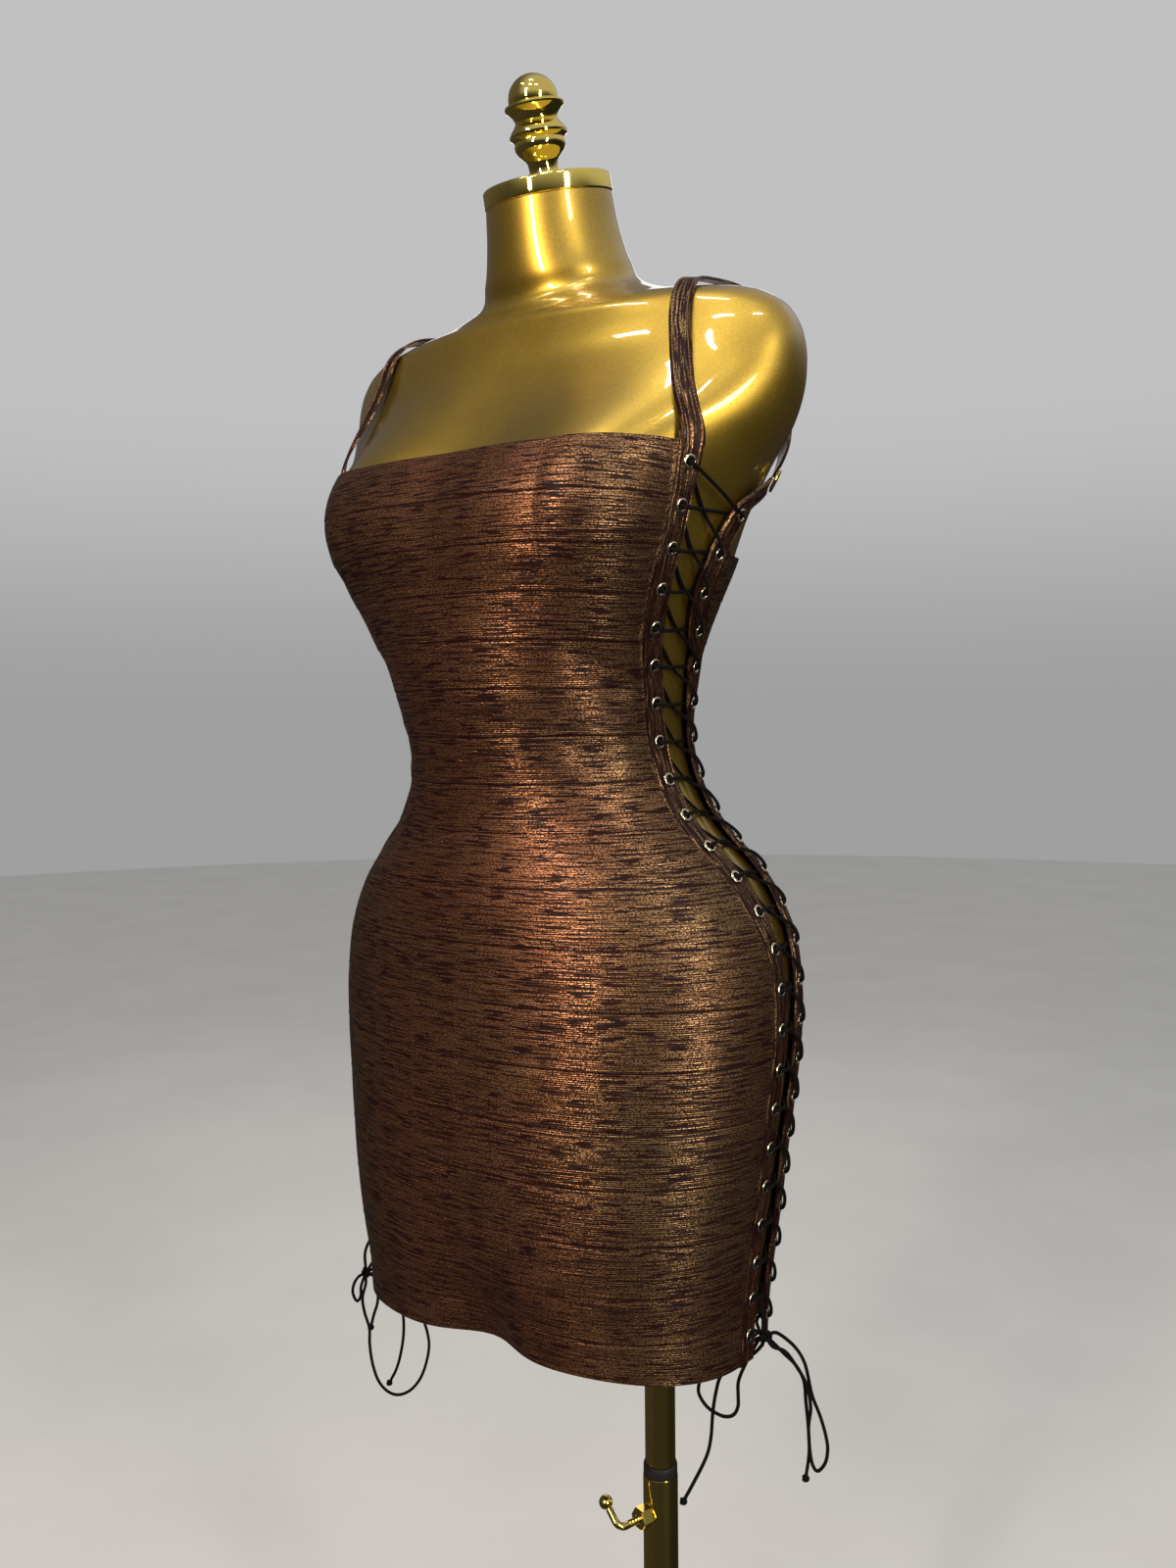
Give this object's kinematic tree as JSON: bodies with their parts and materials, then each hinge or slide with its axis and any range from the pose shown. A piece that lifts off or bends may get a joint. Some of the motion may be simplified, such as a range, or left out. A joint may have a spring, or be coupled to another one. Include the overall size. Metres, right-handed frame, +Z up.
{
  "type": "bodycon dress on dress form",
  "caption": "Side-laced bandage-knit mini dress with shoulder straps, stretched over a limbless headless dress form on a telescopic floor stand.",
  "frame": {"origin": "centre of the underside of the round base plate, directly below the middle of the torso", "axes": "+Z up along the figure; the wearer faces -Y and the wearer's left side is +X"},
  "size_m": [0.3947, 0.32, 1.5336],
  "materials": {
    "foil_knit": "elastic bandage knit with a broken bronze foil print, sparkling and horizontally streaked",
    "black_lace": "braided round cord, matte black-brown",
    "gold_metal": "polished gold plating",
    "gold_form": "glossy gold-painted fibreglass",
    "brass_stand": "polished brass-coloured tube",
    "black_plastic": "moulded black plastic"
  },
  "bodies": {
    "stand": {"base_plate": "brass_stand", "pole_flange": "brass_stand", "lower_tube": "brass_stand", "collar_ring": "black_plastic", "clamp_nut": "brass_stand"},
    "clamp": {"clamp_screw": "brass_stand"},
    "mast": {"upper_tube": "brass_stand"},
    "figure": {"dress_form": "gold_form", "neck_cap": "gold_metal", "finial": "gold_metal", "front_panel": "foil_knit", "back_panel": "foil_knit", "front_band_left": "foil_knit", "front_band_right": "foil_knit", "back_band_left": "foil_knit", "back_band_right": "foil_knit", "strap_ring_left": "gold_metal", "strap_ring_right": "gold_metal", "lace_left": "black_lace", "lace_right": "black_lace", "knot_left": "black_lace", "knot_right": "black_lace", "bow_left_loop_1": "black_lace", "bow_left_loop_2": "black_lace", "bow_left_tail_1": "black_lace", "bow_left_tail_2": "black_lace", "bow_right_loop_1": "black_lace", "bow_right_loop_2": "black_lace", "bow_right_tail_1": "black_lace", "bow_right_tail_2": "black_lace"}
  },
  "joints": [
    {"name": "mast_height", "type": "slide", "parent": "stand", "child": "mast", "axis": [0, 0, 1], "range_m": [-0.1, 0.18]},
    {"name": "form_turn", "type": "hinge", "parent": "mast", "child": "figure", "pos_m": [0.063, 0.027, 0.686], "axis": [0, 0, 1], "continuous": true},
    {"name": "clamp_turn", "type": "hinge", "parent": "stand", "child": "clamp", "pos_m": [0.063, 0.027, 0.523], "axis": [-0.297, -0.9549, 0], "range_deg": [0, 300]}
  ]
}
